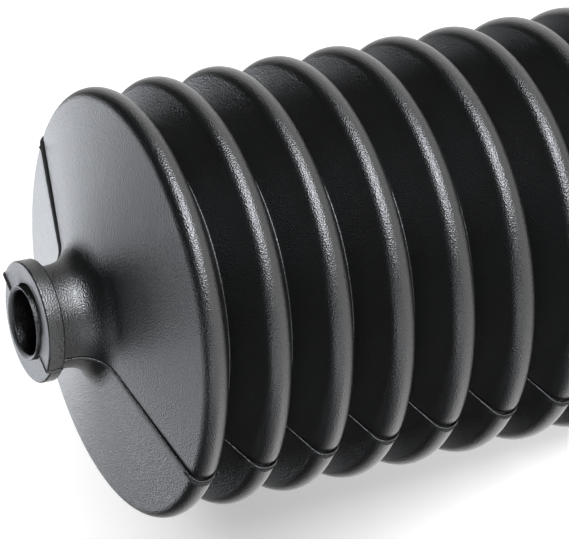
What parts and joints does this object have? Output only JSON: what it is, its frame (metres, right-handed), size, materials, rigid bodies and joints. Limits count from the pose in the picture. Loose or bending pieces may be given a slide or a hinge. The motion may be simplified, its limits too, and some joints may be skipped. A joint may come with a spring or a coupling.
{
  "type": "rubber bellows boot",
  "caption": "Round rubber bellows boot that seals a moving rod: deep folds, a wide open cuff and a small collar with a rod bore.",
  "frame": {"origin": "centre of the wide cuff's end face, on which the boot stands", "axes": "+Z along the bellows axis from the wide cuff to the small collar, X in the parting plane of the mould, -Y through the higher half of the collar's face"},
  "size_m": [0.1, 0.1, 0.1694],
  "materials": {
    "rubber": "matte"
  },
  "bodies": {
    "root": {"bellows_boot": "rubber"}
  },
  "joints": []
}
